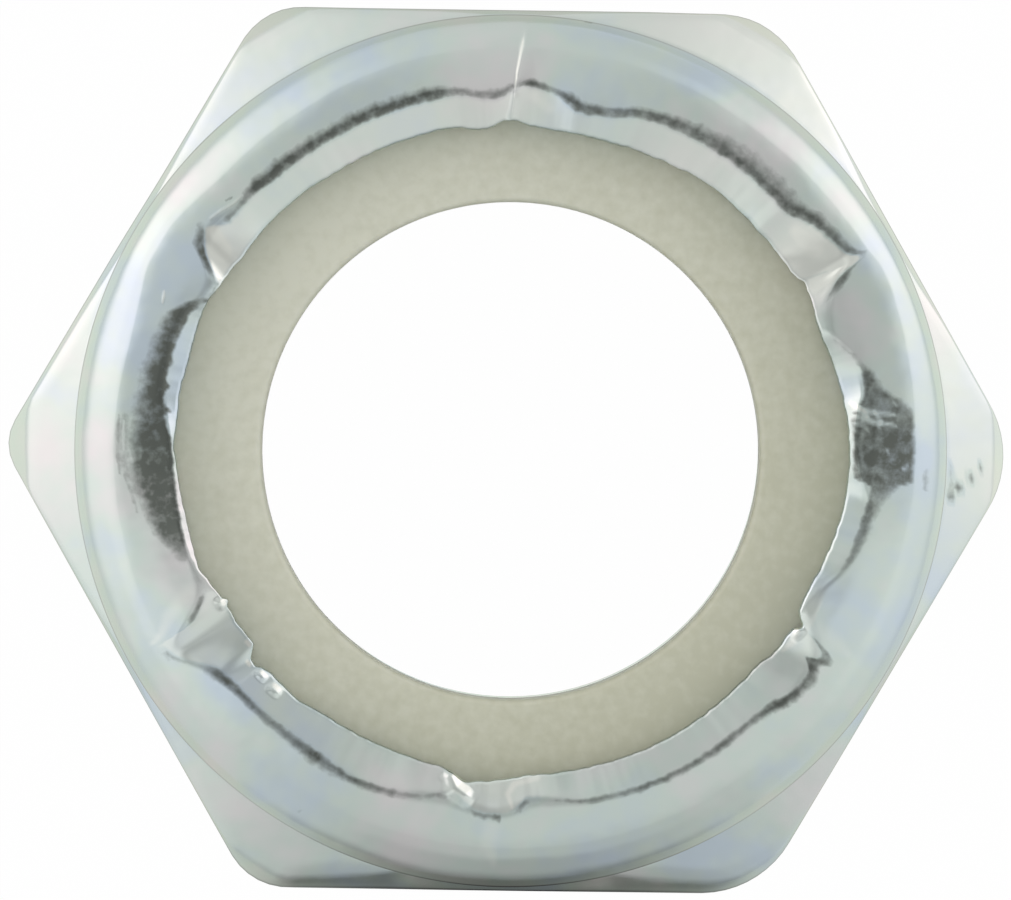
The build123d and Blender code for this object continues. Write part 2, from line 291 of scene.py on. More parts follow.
# Strokes on the rim and the hexagon's top: how high they stand, how much painted shade they lay
# on, how many half widths their left side takes to run out, and their points as (angle, radius,
# half width). A negative amount of painted shade is a painted highlight. A stroke that runs out
# at its left is a step, and its steep side faces right of the stroke's way.
STROKES = (
    # Fold at 30 degrees: crease up from the lip in painted shade, the bright wedge beside it in
    # painted highlight, and painted shade and highlight near them
    (0, 0.35, 0, ((31.2, 7.32, 0.06), (30.8, 7.55, 0.05), (30.4, 7.85, 0.03))),
    (0.005, -0.3, 0, ((29.0, 7.4, 0.2), (29.3, 7.8, 0.14), (29.6, 8.25, 0.06))),
    (0, 0.55, 0, ((29.2, 8.3, 0.06), (28.5, 8.04, 0.1), (27.5, 7.97, 0.11))),
    (0, -0.35, 0, ((34.5, 7.88, 0.25), (38.5, 7.78, 0.22))),
    # Fold at 90 degrees: a thin raised ridge over the crown with a painted highlight on it, and a
    # crease left of it in painted shade
    (0.022, -1, 10, (
        (89.0, 8.95, 0.03), (89.2, 8.76, 0.06), (89.5, 8.5, 0.045), (89.85, 8.2, 0.04),
        (90.1, 7.85, 0.03),
    )),
    (-0.02, 0.35, 0, ((90.35, 7.75, 0.04), (90.6, 7.5, 0.06), (91.1, 7.2, 0.08))),
    (0, -0.25, 0, ((87, 7.7, 0.2), (84.5, 7.45, 0.2))),
    # Fold at 150 degrees: puckers both sides of the saddle, with painted highlights and painted
    # shade
    (0.008, -0.25, 0, (
        (143, 8.2, 0.04), (141, 8.12, 0.06), (139, 8.02, 0.07), (137.3, 7.99, 0.05),
    )),
    (0, 0.5, 0, ((139.6, 8.2, 0.03), (138.6, 8.14, 0.04))),
    (0.006, -0.5, 0, ((157.8, 8.17, 0.03), (156.8, 8.2, 0.05), (156.0, 8.24, 0.03))),
    (0, -0.4, 0, ((144.6, 7.95, 0.25), (146, 7.6, 0.3))),
    # Fold at 210 degrees: light wedge in painted highlight, and burrs along the lip with painted
    # highlights
    (0, -0.3, 0, (
        (209.2, 8.85, 0.06), (208.4, 8.5, 0.14), (206.6, 8.2, 0.24), (204.6, 7.6, 0.26),
    )),
    (0.05, -1, 2, ((208.8, 7.01, 0.08), (208.3, 7.01, 0.08))),
    (0, -1, 0, ((217.3, 7.02, 0.09), (216.7, 7.02, 0.09))),
    (0, -1, 0, ((220.0, 7.28, 0.08), (219.5, 7.28, 0.08))),
    (0.04, -1, 2, ((223.2, 7.18, 0.07), (222.4, 7.18, 0.07))),
    (0.04, -1, 2, ((226.4, 7.17, 0.09), (225.6, 7.18, 0.09))),
    # Fold at 270 degrees: broad light ridge and a raised bright facet on the end face, both in
    # painted highlight
    (0, -0.2, 0, ((268.4, 8.9, 0.12), (267.6, 8.5, 0.3), (267.8, 8.1, 0.3))),
    (0.07, -1, 3, ((263.6, 7.38, 0.1), (262.2, 7.27, 0.11), (260.9, 7.1, 0.08))),
    (0, -0.5, 0, (
        (271.0, 7.7, 0.06), (270.3, 7.4, 0.1), (271.5, 7.18, 0.12), (275.5, 7.08, 0.1),
    )),
    # Fold at 330 degrees: painted highlights on a light ridge down to a notch, on a raised burr
    # beside it and along the lip
    (0, -0.15, 0, ((329.8, 8.5, 0.15), (330.3, 8.1, 0.3), (330.4, 7.6, 0.3))),
    (0.04, -0.8, 3, ((329.0, 7.28, 0.06), (328.4, 7.26, 0.06))),
    (0, -0.5, 0, ((328.6, 7.3, 0.1), (326.6, 7.34, 0.16), (324.6, 7.28, 0.08))),
    # Lighter scratches fanned through the painted dark reflection on the flattened patch at 0
    # degrees, and painted shade just outside it
    (0, -0.8, 0, ((8.8, 7.42, 0.08), (7.9, 7.54, 0.13), (7.0, 7.68, 0.11), (6.2, 7.74, 0.07))),
    (0, -0.7, 0, ((8.0, 7.54, 0.08), (7.0, 7.8, 0.11), (6.6, 8.04, 0.09), (6.3, 8.32, 0.05))),
    (0, -0.75, 0, (
        (6.6, 7.44, 0.08), (6.2, 7.62, 0.12), (5.3, 7.86, 0.1), (5.0, 8.1, 0.08),
        (4.6, 8.34, 0.05),
    )),
    (0, -0.5, 0, ((5.4, 7.46, 0.08), (5.0, 7.62, 0.1), (4.2, 7.72, 0.07))),
    (0, -0.55, 0, ((6.9, 7.9, 0.07), (5.4, 8.02, 0.09), (4.4, 7.96, 0.06))),
    (0, -0.3, 0, ((3.6, 7.6, 0.08), (1.8, 7.55, 0.1), (359.4, 7.58, 0.08))),
    (0, -0.45, 0, ((1.0, 8.12, 0.05), (0.6, 8.15, 0.06))),
    (0, -0.3, 0, ((8.2, 8.32, 0.05), (7.6, 8.38, 0.05))),
    (0, -0.7, 0, ((358.5, 8.58, 0.05), (358.3, 8.48, 0.05))),
    (0, 0.4, 0, ((358.0, 9.01, 0.07), (356.6, 9.0, 0.1), (355.4, 8.97, 0.07))),
    # Darker marks on the hexagon's top beside the patch
    (0, 1.3, 0, (
        (358.6, 10.24, 0.08), (357.6, 10.1, 0.07), (356.8, 9.9, 0.09), (355.8, 9.74, 0.16),
        (354.8, 9.62, 0.14),
    )),
    (0, 0.7, 0, ((358.8, 9.56, 0.08), (357.2, 9.6, 0.12), (355.8, 9.6, 0.12))),
    (0, 0.4, 0, ((80.9, 9.41, 0.05), (80.2, 9.41, 0.05))),
    # Painted shade outside the patch at 180 degrees with painted highlights in it, and a darker
    # mark at 240 degrees
    (0, 0.35, 0, (
        (175.8, 8.36, 0.16), (178.5, 8.36, 0.26), (182, 8.34, 0.24), (184.5, 8.28, 0.12),
    )),
    (0, 0.45, 0, ((175.5, 8.5, 0.05), (178, 8.49, 0.1), (181.5, 8.48, 0.1), (184, 8.46, 0.05))),
    (0, -0.4, 0, ((176.2, 8.38, 0.03), (178.2, 8.38, 0.05), (180.4, 8.36, 0.04))),
    (0, -0.35, 0, ((180.6, 8.24, 0.06), (182.4, 8.2, 0.08))),
    (0, 0.3, 0, ((184.5, 8.36, 0.06), (187, 8.24, 0.1), (190, 8.18, 0.06))),
    (0, 0.5, 0, ((240.6, 9.04, 0.03), (238.8, 9.07, 0.03))),
)

# Paper under the nut, in metres, and how white the camera sees it and the tent behind it.
# It lies a hair under the nut, so that the two faces don't mix where they meet.
FLOOR_REACH = 3.0
FLOOR_HEIGHT = -0.01 * MM
PAPER_WHITE = 0.99

# Brightness of the tent by azimuth: its walls, its eaves and the cloth over them, and the
# degrees up between which one runs into the next
WALLS = (
    (-180, 1.19), (-150, 0.92), (-120, 0.71), (-90, 0.47), (-60, 0.65), (-30, 0.88), (0, 1.03),
    (30, 1.38), (45, 1.25), (60, 0.8), (90, 0.81), (120, 0.95), (150, 1.52), (180, 1.19),
)
WALLS_TO_EAVES = (32, 40)
EAVES = (
    (-180, 1.18), (-150, 1.0), (-120, 0.7), (-90, 0.62), (-60, 0.67), (-30, 0.92), (0, 1.02),
    (30, 1.35), (60, 0.88), (90, 0.79), (120, 0.98), (150, 1.42), (180, 1.18),
)
EAVES_TO_CLOTH = (47, 57)
CLOTH = (
    (-180, 0.65), (-150, 0.96), (-120, 0.72), (-90, 0.76), (-60, 0.78), (-30, 0.85),
    (-15, 0.86), (0, 0.7), (15, 0.61), (30, 0.62), (60, 0.63), (90, 0.76), (105, 0.68),
    (120, 0.64), (150, 0.75), (180, 0.65),
)
# Degrees up at which the paper's light gives way to the walls'
GROUND_LIGHT_ENDS = 16
# A colour ramp holds up to 1, so the tables are divided by this and multiplied again
RAMP_TOP = 2.0
# Half width and half depth of the opening over the nut, as sines of its angle off the axis
OPENING = (0.30, 0.16)

# Camera, in metres and radians
DISTANCE = 0.90
SEEN_WIDTH = 21.83 * MM
AIM = Vector((-0.102, -0.002, 10.5)) * MM
LEAN_X, LEAN_Y = radians(-0.14), radians(0.30)
TURN = radians(0.8)


def srgb(code):
    """Linear colour with alpha of an sRGB hex code."""
    parts = [int(code[index:index + 2], 16) / 255 for index in (0, 2, 4)]
    linear = [p / 12.92 if p <= 0.04045 else ((p + 0.055) / 1.055) ** 2.4 for p in parts]
    return (*linear, 1.0)


def add(tree, kind, inputs=(), **settings):
    """Adds a node with its settings. Inputs are a list in socket order or a dict, and
    each is a value, the socket that feeds it, or the node whose first output does."""
    made = tree.nodes.new(kind)
    for name, value in settings.items():
        setattr(made, name, value)
    for key, value in inputs.items() if isinstance(inputs, dict) else enumerate(inputs):
        if isinstance(value, bpy.types.Node):
            value = value.outputs[0]
        if isinstance(value, bpy.types.NodeSocket):
            tree.links.new(value, made.inputs[key])
        else:
            made.inputs[key].default_value = value
    return made


def maths(tree, operation, *values, **settings):
    """Math node."""
    return add(tree, "ShaderNodeMath", values, operation=operation, **settings)


def between(tree, share, start, end):
    """Mix node that runs from the first value to the second by the share."""
    return add(tree, "ShaderNodeMix", {0: share, 2: start, 3: end}, data_type="FLOAT")


def tinted(tree, share, colour, code):
    """Colour that turns into an sRGB hex code's by the share."""
    mix = add(tree, "ShaderNodeMix", {0: share, 6: colour, 7: srgb(code)}, data_type="RGBA")
    return mix.outputs[2]


def noise_texture(tree, at, scale, detail, roughness=0.5):
    """Noise texture read at a place, scaled per metre."""
    return add(tree, "ShaderNodeTexNoise", {
        "Vector": at, "Scale": scale, "Detail": detail, "Roughness": roughness,
    })


def smooth_range(tree, value, *limits):
    """Map Range node that eases in and out between its limits."""
    return add(tree, "ShaderNodeMapRange", (value, *limits), interpolation_type="SMOOTHSTEP")


def length_of(tree, vector):
    """A vector's length."""
    made = add(tree, "ShaderNodeVectorMath", (vector,), operation="LENGTH")
    return made.outputs["Value"]


def in_front(tree, heading):
    """How far a heading points to the front, from -1 to 1."""
    front = add(tree, "ShaderNodeVectorMath", (heading, (0, -1, 0)), operation="DOT_PRODUCT")
    return front.outputs["Value"]


def round_curve(points, turn):
    """Smooth closed curve through (angle, value) points, read at the given angles."""
    angles = np.array([p[0] for p in points], float)
    values = np.array([p[1] for p in points], float)
    angles = np.concatenate((angles[-2:] - 360, angles, angles[:2] + 360))
    values = np.concatenate((values[-2:], values, values[:2]))
    steps = np.diff(angles)
    rises = np.diff(values) / steps
    # Harmonic mean of the neighbouring rises, so the curve never overshoots a point
    lean = np.zeros_like(values)
    same = rises[1:] * rises[:-1] > 0
    lean[1:-1][same] = 2 * rises[1:][same] * rises[:-1][same] / (rises[1:] + rises[:-1])[same]
    turn = np.mod(turn - angles[2], 360) + angles[2]
    index = np.clip(np.searchsorted(angles, turn, side="right") - 1, 0, len(steps) - 1)
    t = (turn - angles[index]) / steps[index]
    h = steps[index]
    return (
        values[index] * (1 + 2 * t) * (1 - t) ** 2
        + lean[index] * h * t * (1 - t) ** 2
        + values[index + 1] * t * t * (3 - 2 * t)
        + lean[index + 1] * h * t * t * (t - 1)
    )


def grain(points, scale, seed, octaves=3):
    """Smooth noise from -1 to 1 at points in mm, with features of about scale mm."""
    shift = Vector((seed * 7.31, seed * 3.17, seed * 5.03))
    flat = points.reshape(-1, 3)
    made = np.empty(len(flat))
    for index, point in enumerate(flat):
        made[index] = noise.fractal(Vector(point) / scale + shift, 1.0, 2.0, octaves)
    return made.reshape(points.shape[:-1])


def step(value, low, high):
    """Smooth step from 0 at low to 1 at high."""
    t = np.clip((value - low) / (high - low), 0, 1)
    return t * t * (3 - 2 * t)


def polar(radius, turn, height):
    """Points in mm from radius, angle in degrees and height."""
    radius, turn, height = np.broadcast_arrays(radius, turn, height)
    angle = np.radians(turn)
    return np.stack((radius * np.cos(angle), radius * np.sin(angle), height), axis=-1)


def hexagon_radius(turn):
    """Distance from the axis to the hexagon's side, each corner with its own radius."""
    radius = HALF_FLATS / np.cos(np.radians(np.mod(turn, 60) - 30))
    for index, corner in enumerate(CORNER_RADII):
        lean = np.radians((turn - 60 * index + 180) % 360 - 180)
        centre = (HALF_FLATS - corner) / cos(radians(30))
        reach = np.arctan2(corner * 0.5, centre + corner * cos(radians(30)))
        near = np.abs(lean) < reach
        root = np.sqrt(np.maximum(corner**2 - (centre * np.sin(lean)) ** 2, 0))
        radius = np.where(near, centre * np.cos(lean) + root, radius)
    return radius


def rounded(path, cuts):
    """Rings of a profile with its corners rounded: path holds (radius, height) arrays.

    Two corners share the side between them by the sizes of their cuts."""
    rings = []
    for index, (point, cut) in enumerate(zip(path, cuts)):
        point = np.stack(np.broadcast_arrays(*point), axis=-1)
        if not np.any(cut):
            rings.append(point)
            continue
        sides = []
        for other in (index - 1, index + 1):
            away = np.stack(np.broadcast_arrays(*path[other]), axis=-1) - point
            length = np.maximum(np.linalg.norm(away, axis=-1, keepdims=True), 1e-6)
            sides.append(point + away * np.minimum(cut / length, 0.9 * cut / (cut + cuts[other])))
        for t in (0.0, 0.33, 0.67, 1.0):
            rings.append(sides[0] * (1 - t) ** 2 + point * 2 * t * (1 - t) + sides[1] * t * t)
    return rings


def placed(name, data):
    """New object in the scene's collection."""
    made = bpy.data.objects.new(name, data)
    bpy.context.scene.collection.objects.link(made)
    return made


def closed_mesh(name, rings, attributes):
    """Ring-shaped solid from closed rings of points that follow its profile round.

    Neighbouring rings have as many points or FINER times as many. The last ring joins
    the first. attributes maps a name to one array for each ring."""
    starts = np.cumsum([0] + [len(ring) for ring in rings])
    across = range(FINER + 1)
    faces = []
    for index, ring in enumerate(rings):
        after = rings[(index + 1) % len(rings)]
        low = starts[index]
        high = starts[(index + 1) % len(rings)]
        count = min(len(ring), len(after))
        for column in range(count):
            ahead = (column + 1) % count
            if len(ring) == len(after):
                faces.append((low + column, low + ahead, high + ahead, high + column))
            elif len(after) > len(ring):
                fine = [high + (FINER * column + part) % len(after) for part in across[::-1]]
                faces.append((low + column, low + ahead, *fine))
            else:
                fine = [low + (FINER * column + part) % len(ring) for part in across]
                faces.append((*fine, high + ahead, high + column))
    mesh = bpy.data.meshes.new(name)
    mesh.from_pydata([tuple(p) for p in np.concatenate(rings) * MM], [], faces)
    for label, parts in attributes.items():
        layer = mesh.attributes.new(label, "FLOAT", "POINT")
        layer.data.foreach_set("value", np.concatenate(parts).astype(np.float32))
    mesh.shade_smooth()
    return placed(name, mesh)


def crown_height(radius, line):
    """Height of the rolled collar's outside between the shoulder's line and the crest."""
    run = radius - CROWN_TOP_RADIUS
    bend = (tan(SHOULDER_SLOPE) - CREST_SLOPE) / (line - CROWN_TOP_RADIUS)
    return CROWN_TOP - CREST_SLOPE * run - bend * np.maximum(run, 0) ** 2 / 2


def softened(values, reach):
    """Values round a ring averaged with their neighbours, near ones counting most."""
    shares = {shift: 1 - abs(shift) / (reach + 1) for shift in range(-reach, reach + 1)}
    summed = sum(np.roll(values, shift) * share for shift, share in shares.items())
    return summed / sum(shares.values())


def rim_height(radius, lip, lip_height, crest, line, steepest):
    """Height of the rim over the crown and the end face, with the crest rounded."""
    crown = crown_height(radius, line)
    top = crown_height(crest, line)
    fall = np.minimum((top - lip_height) / np.maximum(crest - lip, 0.1), steepest)
    mouth = top - (crest - radius) * fall
    pleated = step(lip_height, *PLEATED_LIP)
    even, pleat = softened(mouth, CREST_SOFTNESS), softened(mouth, PLEAT_SOFTNESS)
    mouth = even * (1 - pleated) + pleat * pleated
    share = np.clip(0.5 + 0.5 * (mouth - crown) / CREST_BLEND, 0, 1)
    return mouth * (1 - share) + crown * share - CREST_BLEND * share * (1 - share)


def stroke_forms(places, points, lee):
    """A stroke's share of paint and of height at each place, each from 0 to 1."""
    paint = np.zeros(places.shape[:-1])
    height = np.zeros(places.shape[:-1])
    marks = [
        (polar(RIM_DRAWN_IN * radius, turn, 0)[:2], half) for turn, radius, half in points
    ]
    for (start, first), (end, last) in zip(marks, marks[1:]):
        length = np.linalg.norm(end - start)
        along = (end - start) / length
        away = places - start
        run = away @ along
        t = np.clip(run / length, 0, 1)
        gap = np.linalg.norm(away - t[..., None] * length * along, axis=-1)
        half = first + (last - first) * t
        ridge = np.clip(1 - (gap / half) ** 2, 0, 1) ** 2
        paint = np.maximum(paint, ridge)
        if lee:
            side = (along[0] * away[..., 1] - along[1] * away[..., 0]) / half
            beyond = np.abs(run - t * length) / half
            ridge = np.clip((side + 1) / 2, 0, 1) * (1 - step(side, 1, 1 + lee))
            ridge = ridge * (1 - step(beyond, 0, lee))
        height = np.maximum(height, ridge)
    return paint, height


def strokes_at(places):
    """Summed painted shade and highlight, and relief in mm, of all strokes at the places."""
    paint = np.zeros(places.shape[:-1])
    relief = np.zeros(places.shape[:-1])
    for height, painted_shading, lee, points in STROKES:
        share, form = stroke_forms(places, points, lee)
        relief += height * form
        paint = np.where(painted_shading * share > 0, np.maximum(paint, painted_shading * share), paint + painted_shading * share)
    return paint, relief


def hexagon_rings(turn):
    """Rings from the lower countersink over the hexagon to the collar's wall, and the
    painted shade and highlight on each."""
    hexagon = hexagon_radius(turn) - round_curve(SHORTFALL, turn)
    worn = round_curve(FLAT_EDGE, turn)
    tip = np.minimum(TIP_RADIUS, hexagon - worn)
    tip = np.maximum(tip, COLLAR_RADIUS + TOP_LEFT)
    flat = np.full(BODY_COLUMNS, 1.0)
    chamfer_top = (hexagon - BEARING_RADIUS) * CHAMFER_RISE
    slope_end = RING_FOOT - (tip - COLLAR_RADIUS) * TOP_FALL
    side_top = slope_end - (hexagon - tip) * TIP_FALL
    side = side_top - chamfer_top
    path = [
        (flat * SINK_RADIUS, flat * 0),
        (flat * BEARING_RADIUS, flat * 0),
        (hexagon, chamfer_top),
        *[(hexagon, chamfer_top + side * part) for part in (0.25, 0.50, 0.75)],
        (hexagon, side_top),
        (tip, slope_end),
        (flat * COLLAR_RADIUS, flat * RING_FOOT),
        (flat * COLLAR_RADIUS, flat * WALL_RINGS[0]),
    ]
    edge_cut, tip_cut = 0.06 + 0.5 * worn[:, None], 0.12 + 0.7 * worn[:, None]
    rings = rounded(path, (0, 0.30, 0.16, 0, 0, 0, edge_cut, tip_cut, 0.05, 0))
    # Level with the strokes, the hexagon's top needs rings closer together. It ends at the
    # first of the root's four rings, before the one on the collar's wall.
    root = len(rings) - 5
    outside, inside = rings[root - 1], rings[root]
    rings[root:root] = [
        outside * (1 - part) + inside * part for part in np.linspace(0, 1, TOP_ROWS)[1:-1]
    ]
    rings = [polar(ring[:, 0], turn, ring[:, 1]) for ring in rings]
    # Painted sheen on the hexagon's top, fainter in the root so that painted shade lies there,
    # with the strokes' painted shade and highlight
    painted_sheen = round_curve(PAINTED_TOP_SHEEN, turn)
    painted_shade_and_highlight = []
    for ring in rings:
        radius = np.linalg.norm(ring[:, :2], axis=-1)
        clear = step(radius, COLLAR_RADIUS, COLLAR_RADIUS + 0.12)
        painted_shade_and_highlight.append(strokes_at(ring[:, :2])[0] - painted_sheen * (0.2 + 0.8 * clear))
    return rings, painted_shade_and_highlight


def rim_rings(turn):
    """Rings from the collar's wall over the crown and the end face, round the lip and
    under it, and the painted shade and highlight on each."""
    around = polar(UNEVEN_RADIUS, turn, 0)
    lip = RIM_DRAWN_IN * round_curve(LIP_EDGE, turn) + 0.02 * grain(around, 0.25, 1)
    crest = RIM_DRAWN_IN * round_curve(CREST, turn) + 0.012 * grain(around, 0.4, 2)
    line = RIM_DRAWN_IN * round_curve(SHOULDER_LINE, turn) + 0.03 * grain(around, 2.5, 3)
    lip_height = round_curve(LIP_HEIGHT, turn)
    steepest = round_curve(STEEPEST_FALL, turn)
    lip_round = round_curve(LIP_ROUND, turn)

    # Outside of the collar: the wall, the tight arc, the wide arc and the crown
    meet = COLLAR_RADIUS - TIGHT_ARC * (1 - sin(ARCS_MEET))
    wide_arc = (meet - line) / (sin(ARCS_MEET) - sin(SHOULDER_SLOPE))
    meet_height = crown_height(line, line) - wide_arc * (cos(SHOULDER_SLOPE) - cos(ARCS_MEET))
    wall_top = meet_height - TIGHT_ARC * cos(ARCS_MEET)
    rim = [(COLLAR_RADIUS, height) for height in WALL_RINGS[1:]]
    for slope in np.linspace(pi / 2, ARCS_MEET, ARC_ROWS):
        rim.append((
            COLLAR_RADIUS - TIGHT_ARC * (1 - sin(slope)),
            wall_top + TIGHT_ARC * cos(slope),
        ))
    for slope in np.linspace(ARCS_MEET, SHOULDER_SLOPE, ARC_ROWS)[1:-1]:
        rim.append((
            meet - wide_arc * (sin(ARCS_MEET) - sin(slope)),
            meet_height + wide_arc * (cos(slope) - cos(ARCS_MEET)),
        ))
    lip_start = lip + lip_round * LIP_START
    for part in np.linspace(0, 1, CROWN_ROWS):
        radius = line + (lip_start - line) * part
        rim.append((radius, rim_height(radius, lip, lip_height, crest, line, steepest)))
    edge = rim[-1][1]
    for lean in np.radians(LIP_LEANS):
        rim.append((
            lip + lip_round * (1 - sin(lean)),
            edge - lip_round * (cos(radians(END_FACE_LEAN)) - cos(lean)),
        ))
    rim = np.stack([polar(radius, turn, height) for radius, height in rim])

    # Strokes, and the slight waves that the jaws leave
    above = rim[2:]
    paint, forms = strokes_at(above[:, :, :2])
    relief = 0.010 * grain(above, 1.8, 4, 2) + forms
    # The painted dark band with ragged sides, the painted highlight on the end face inside it
    # and the painted shade on the lip
    inner, outer, strength, fade = (
        round_curve([(row[0], row[column]) for row in PAINTED_DARK_BAND], turn) for column in (1, 2, 3, 4)
    )
    inner = RIM_DRAWN_IN * inner + 0.03 * grain(around, 0.15, 5)
    outer = RIM_DRAWN_IN * outer + 0.05 * grain(around, 0.20, 6)
    radius = np.linalg.norm(above[:, :, :2], axis=-1)
    painted_light = strength * step(radius, inner - 0.07, inner + 0.03)
    painted_light = painted_light * (1 - step(radius, outer - fade, outer + fade + 0.04))
    painted_light = np.where(paint > 0, np.maximum(painted_light, paint), painted_light + paint)
    painted_light -= round_curve(PAINTED_END_FACE_HIGHLIGHT, turn) * (1 - step(radius, inner - 0.12, inner - 0.02))
    painted_light += round_curve(PAINTED_LIP_SHADE, turn) * (1 - step(radius, lip + 0.02, lip + 0.12))
    # The relief runs out towards the rim's underside
    upright = step(above[:, :, 2], RIM_UNDER + 0.1, RIM_UNDER + 0.35)
    above[:, :, 2] = np.minimum(above[:, :, 2] + relief * upright, NUT_HEIGHT - TOP_GAP)

    plain = np.zeros(RIM_COLUMNS)
    underside = [polar(lip, turn, RIM_UNDER + 0.02), polar(lip + 0.03, turn, RIM_UNDER)]
    return [*rim, *underside], [plain, plain, *painted_light, plain, plain]


def steel_nut():
    """The steel nut: hexagon, collar and rolled rim, as one closed surface."""
    share = np.arange(RIM_COLUMNS) * 360 / RIM_COLUMNS
    fine = share - np.degrees(CLOSER_AT_FOLDS / 6 * np.sin(np.radians(6 * (share - 30))))
    coarse = fine[::FINER]
    rings, painted_shade_and_highlight = hexagon_rings(coarse)
    rim, rim_painted_shade_and_highlight = rim_rings(fine)
    # Inside, from the cavity's pressed corner down to the wall behind the thread
    inside = [
        (CAVITY_RADIUS - ROLL_BEVEL, RIM_UNDER),
        (CAVITY_RADIUS, RIM_UNDER - ROLL_BEVEL),
        (CAVITY_RADIUS, RING_FOOT),
        (SINK_RADIUS, RING_FOOT),
        (MAJOR_RADIUS, RING_FOOT - (SINK_RADIUS - MAJOR_RADIUS)),
        *[(MAJOR_RADIUS, height) for height in BORE_ROWS],
        (MAJOR_RADIUS, SINK_RADIUS - MAJOR_RADIUS),
    ]
    rings += rim + [polar(radius, coarse, height) for radius, height in inside]
    painted_shade_and_highlight += rim_painted_shade_and_highlight + [np.zeros(BODY_COLUMNS)] * len(inside)
    # Painted shade and highlight go to the plate as a point attribute
    return closed_mesh("nut_body_steel", rings, {"painted_light": painted_shade_and_highlight})


def grown(name, tree, values):
    """Plain mesh object from a Geometry Nodes tree with its named inputs set."""
    seed_mesh = bpy.data.meshes.new(name + "_seed")
    grower = placed(name + "_seed", seed_mesh)
    modifier = grower.modifiers.new("grow", "NODES")
    modifier.node_group = tree
    for item in tree.interface.items_tree:
        if item.item_type == "SOCKET" and item.in_out == "INPUT" and item.name in values:
            modifier[item.identifier] = values[item.name]
    depsgraph = bpy.context.evaluated_depsgraph_get()
    mesh = bpy.data.meshes.new_from_object(grower.evaluated_get(depsgraph))
    mesh.name = name
    grower.modifiers.remove(modifier)
    bpy.data.objects.remove(grower)
    return placed(name, mesh)


def growing_tree(name, *inputs):
    """Geometry Nodes tree with named number inputs and a count of steps."""
    tree = bpy.data.node_groups.new(name, "GeometryNodeTree")
    for label in inputs:
        tree.interface.new_socket(label, in_out="INPUT", socket_type="NodeSocketFloat")
    tree.interface.new_socket("Steps", in_out="INPUT", socket_type="NodeSocketInt")
    tree.interface.new_socket("Geometry", in_out="OUTPUT", socket_type="NodeSocketGeometry")
    return tree, add(tree, "NodeGroupInput").outputs


def finished_tree(tree, swept, material):
    """The tree with its last nodes, which give out the sweep in the material."""
    real = add(tree, "GeometryNodeRealizeInstances", (swept,))
    painted = add(tree, "GeometryNodeSetMaterial", {"Geometry": real, "Material": material})
    add(tree, "NodeGroupOutput", (painted,))
    return tree


def thread_tree(material):
    """Right-hand helix swept with the thread's ridge, its crests cut by two countersinks."""
    tree, given = growing_tree(
        "internal thread",
        "Pitch", "Minor Radius", "Major Radius", "Crest Flat", "Turns", "Height", "Sink Radius",
    )
    line = add(tree, "GeometryNodeCurvePrimitiveLine")
    steps = add(tree, "GeometryNodeResampleCurve", {"Curve": line, "Count": given["Steps"]})
    share = add(tree, "GeometryNodeSplineParameter").outputs["Factor"]
    turns = maths(tree, "MULTIPLY", share, given["Turns"])
    angle = maths(tree, "MULTIPLY", turns, 2 * pi)
    minor, major, sink = given["Minor Radius"], given["Major Radius"], given["Sink Radius"]
    depth = maths(tree, "SUBTRACT", major, minor)
    sunk = maths(tree, "ADD", depth, RIDGE_SUNK * MM)
    path_radius = maths(tree, "MULTIPLY_ADD", sunk, 0.5, minor)
    across = maths(tree, "COSINE", angle)
    up = maths(tree, "SINE", angle)
    place = add(tree, "ShaderNodeCombineXYZ", (
        maths(tree, "MULTIPLY", path_radius, across),
        maths(tree, "MULTIPLY", path_radius, up),
        maths(tree, "MULTIPLY", turns, given["Pitch"]),
    ))
    helix = add(tree, "GeometryNodeSetPosition", {"Geometry": steps, "Position": place})
    upright = add(tree, "GeometryNodeSetCurveNormal", {"Curve": helix}, mode="Z_UP")
    crest = given["Crest Flat"]
    foot = maths(tree, "MULTIPLY_ADD", sunk, 2 * FLANK_SLOPE, crest)
    ridge = add(tree, "GeometryNodeCurvePrimitiveQuadrilateral", {
        "Bottom Width": foot, "Top Width": crest, "Height": sunk, "Offset": 0.0,
    }, mode="TRAPEZOID")
    turned = add(tree, "GeometryNodeTransform", {
        "Geometry": ridge, "Rotation": Euler((0, 0, radians(90))),
    })
    soft = add(tree, "GeometryNodeFilletCurve", {
        "Curve": turned, "Radius": CREST_ROUND * MM, "Count": 3,
    }, mode="POLY")
    swept = add(tree, "GeometryNodeCurveToMesh", {
        "Curve": upright, "Profile Curve": soft, "Fill Caps": True,
    })
    # Vertices nearer the axis than a countersink's cone are pushed out onto it
    here = add(tree, "GeometryNodeInputPosition")
    at = add(tree, "ShaderNodeSeparateXYZ", (here,)).outputs
    level = add(tree, "ShaderNodeCombineXYZ", (at[0], at[1]))
    radius = length_of(tree, level)
    lower = maths(tree, "SUBTRACT", sink, at[2])
    left = maths(tree, "SUBTRACT", given["Height"], at[2])
    upper = maths(tree, "SUBTRACT", sink, left)
    cone = maths(tree, "MAXIMUM", lower, upper)
    wanted = maths(tree, "MAXIMUM", radius, cone)
    wall = maths(tree, "ADD", major, WALL_DEPTH * MM)
    limit = maths(tree, "MAXIMUM", radius, wall)
    kept = maths(tree, "MINIMUM", wanted, limit)
    factor = maths(tree, "DIVIDE", kept, radius)
    raised = maths(tree, "MAXIMUM", at[2], END_GAP * MM)
    roof = maths(tree, "SUBTRACT", given["Height"], END_GAP * MM)
    cut = add(tree, "ShaderNodeCombineXYZ", (
        maths(tree, "MULTIPLY", at[0], factor),
        maths(tree, "MULTIPLY", at[1], factor),
        maths(tree, "MINIMUM", raised, roof),
    ))
    trimmed = add(tree, "GeometryNodeSetPosition", {"Geometry": swept, "Position": cut})
    merged = add(tree, "GeometryNodeMergeByDistance", {
        "Geometry": trimmed, "Distance": 0.01 * MM,
    })
    return finished_tree(tree, merged, material)


